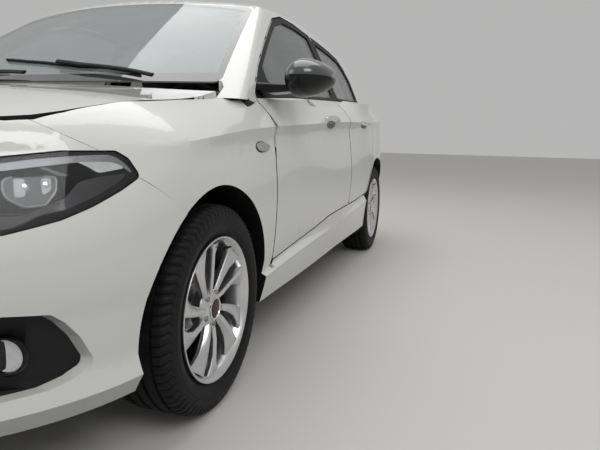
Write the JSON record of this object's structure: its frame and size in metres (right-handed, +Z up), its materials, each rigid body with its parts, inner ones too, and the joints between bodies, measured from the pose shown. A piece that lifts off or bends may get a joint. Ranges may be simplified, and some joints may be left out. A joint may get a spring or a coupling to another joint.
{
  "type": "hatchback car",
  "caption": "Compact five-door hatchback with opening doors, bonnet and tailgate, steering front wheels and free-rolling alloy wheels.",
  "frame": {"origin": "on the road under the middle of the car's box", "axes": "+Z up, the nose points to -Y, +X is the car's left side"},
  "size_m": [2.128, 4.3744, 1.495],
  "materials": {
    "body_paint": "gloss white solid paint under clear coat",
    "black_plastic": "fine grained black",
    "mirror_shell": "gloss dark shell with black arm",
    "window_glass": "lightly tinted",
    "lamp_clear": "clear lens",
    "lamp_red": "red moulded lens",
    "alloy": "bright silver lacquer",
    "tyre_rubber": "black rubber",
    "cast_steel": "dark cast and pressed steel",
    "engine_metal": "rough cast",
    "exhaust_steel": "dull heat-stained steel",
    "floor_paint": "dark primer",
    "tank_plastic": "black moulded tank",
    "seat_fabric": "dark woven cloth"
  },
  "bodies": {
    "car_body": {"roof_panel": "body_paint", "side_frame_left": "body_paint", "side_frame_right": "body_paint", "front_wing_left": "body_paint", "front_wing_right": "body_paint", "front_bumper": "body_paint", "rear_bumper": "body_paint", "scuttle": "black_plastic", "front_grilles": "black_plastic", "fog_lamps": "black_plastic", "headlamp_housings": "black_plastic", "arch_liners": "black_plastic", "dashboard": "black_plastic", "windscreen": "window_glass", "headlamp_lenses": "lamp_clear", "tail_lamps": "lamp_red", "front_subframe": "cast_steel", "rear_axle": "cast_steel", "engine": "engine_metal", "radiator": "engine_metal", "exhaust": "exhaust_steel", "floor_pan": "floor_paint", "fuel_tank": "tank_plastic", "front_seats": "seat_fabric", "rear_bench": "seat_fabric"},
    "bonnet": {"bonnet": "body_paint"},
    "tailgate": {"tailgate": "body_paint", "tailgate_glass": "window_glass"},
    "front_door_left": {"front_door_left": "body_paint", "front_door_glass_left": "window_glass", "door_mirror_left": "mirror_shell"},
    "rear_door_left": {"rear_door_left": "body_paint", "rear_door_glass_left": "window_glass"},
    "knuckle_left": {"knuckle_left": "cast_steel"},
    "wheel_front_left": {"wheel_front_left": "alloy", "tyre_front_left": "tyre_rubber"},
    "wheel_rear_left": {"wheel_rear_left": "alloy", "tyre_rear_left": "tyre_rubber"},
    "front_door_right": {"front_door_right": "body_paint", "front_door_glass_right": "window_glass", "door_mirror_right": "mirror_shell"},
    "rear_door_right": {"rear_door_right": "body_paint", "rear_door_glass_right": "window_glass"},
    "knuckle_right": {"knuckle_right": "cast_steel"},
    "wheel_front_right": {"wheel_front_right": "alloy", "tyre_front_right": "tyre_rubber"},
    "wheel_rear_right": {"wheel_rear_right": "alloy", "tyre_rear_right": "tyre_rubber"},
    "steering_wheel": {"steering_wheel": "black_plastic"}
  },
  "joints": [
    {"name": "front_door_left_hinge", "type": "hinge", "parent": "car_body", "child": "front_door_left", "pos_m": [0.887, -0.846, 0.6], "axis": [0, 0, -1], "range_deg": [0, 65]},
    {"name": "front_door_right_hinge", "type": "hinge", "parent": "car_body", "child": "front_door_right", "pos_m": [-0.887, -0.846, 0.6], "axis": [0, 0, 1], "range_deg": [0, 65]},
    {"name": "rear_door_left_hinge", "type": "hinge", "parent": "car_body", "child": "rear_door_left", "pos_m": [0.893, 0.424, 0.6], "axis": [0, 0, -1], "range_deg": [0, 65]},
    {"name": "rear_door_right_hinge", "type": "hinge", "parent": "car_body", "child": "rear_door_right", "pos_m": [-0.893, 0.424, 0.6], "axis": [0, 0, 1], "range_deg": [0, 65]},
    {"name": "bonnet_hinge", "type": "hinge", "parent": "car_body", "child": "bonnet", "pos_m": [0, -1.008, 1], "axis": [-1, 0, 0], "range_deg": [0, 55]},
    {"name": "tailgate_hinge", "type": "hinge", "parent": "car_body", "child": "tailgate", "pos_m": [0, 1.437, 1.405], "axis": [1, 0, 0], "range_deg": [0, 80]},
    {"name": "steering_left", "type": "hinge", "parent": "car_body", "child": "knuckle_left", "pos_m": [0.716, -1.267, 0.316], "axis": [0, 0, 1], "range_deg": [-35, 35]},
    {"name": "steering_right", "type": "hinge", "parent": "car_body", "child": "knuckle_right", "pos_m": [-0.716, -1.267, 0.316], "axis": [0, 0, 1], "range_deg": [-35, 35]},
    {"name": "steering_column", "type": "hinge", "parent": "car_body", "child": "steering_wheel", "pos_m": [0.37, -0.445, 0.8755], "axis": [0, 0.9326, 0.361], "range_deg": [-520, 520]},
    {"name": "front_wheel_left", "type": "hinge", "parent": "knuckle_left", "child": "wheel_front_left", "pos_m": [0.771, -1.267, 0.316], "axis": [1, 0, 0], "continuous": true},
    {"name": "front_wheel_right", "type": "hinge", "parent": "knuckle_right", "child": "wheel_front_right", "pos_m": [-0.771, -1.267, 0.316], "axis": [1, 0, 0], "continuous": true},
    {"name": "rear_wheel_left", "type": "hinge", "parent": "car_body", "child": "wheel_rear_left", "pos_m": [0.771, 1.371, 0.316], "axis": [1, 0, 0], "continuous": true},
    {"name": "rear_wheel_right", "type": "hinge", "parent": "car_body", "child": "wheel_rear_right", "pos_m": [-0.771, 1.371, 0.316], "axis": [1, 0, 0], "continuous": true}
  ],
  "couplings": [
    {"joint": "steering_right", "follows": "steering_left", "ratio": 1},
    {"joint": "steering_column", "follows": "steering_left", "ratio": -14.8}
  ]
}
